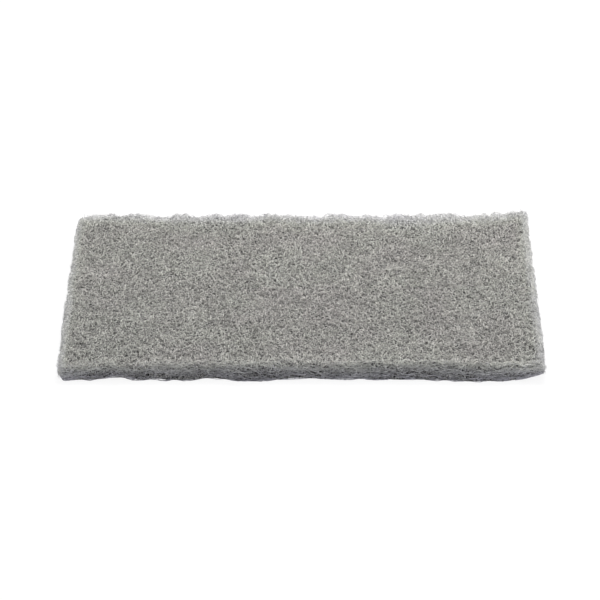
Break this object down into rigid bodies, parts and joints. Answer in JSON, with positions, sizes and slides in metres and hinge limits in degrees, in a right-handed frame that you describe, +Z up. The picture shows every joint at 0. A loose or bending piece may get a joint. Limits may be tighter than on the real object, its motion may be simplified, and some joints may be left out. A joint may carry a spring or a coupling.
{
  "type": "non-woven abrasive pad",
  "caption": "Flat rectangular hand pad of lofty non-woven fibre web bonded with resin and fine abrasive, for scuffing and cleaning surfaces.",
  "frame": {"origin": "middle of the face that the pad lies on", "axes": "+X along the long side, +Y along the short side towards the back, +Z up through the thickness"},
  "size_m": [0.2306, 0.1514, 0.0125],
  "materials": {
    "fibre_web": "matt grey tangle of resin-bonded fibres with fine abrasive grain"
  },
  "bodies": {
    "root": {"abrasive_pad": "fibre_web"}
  },
  "joints": []
}
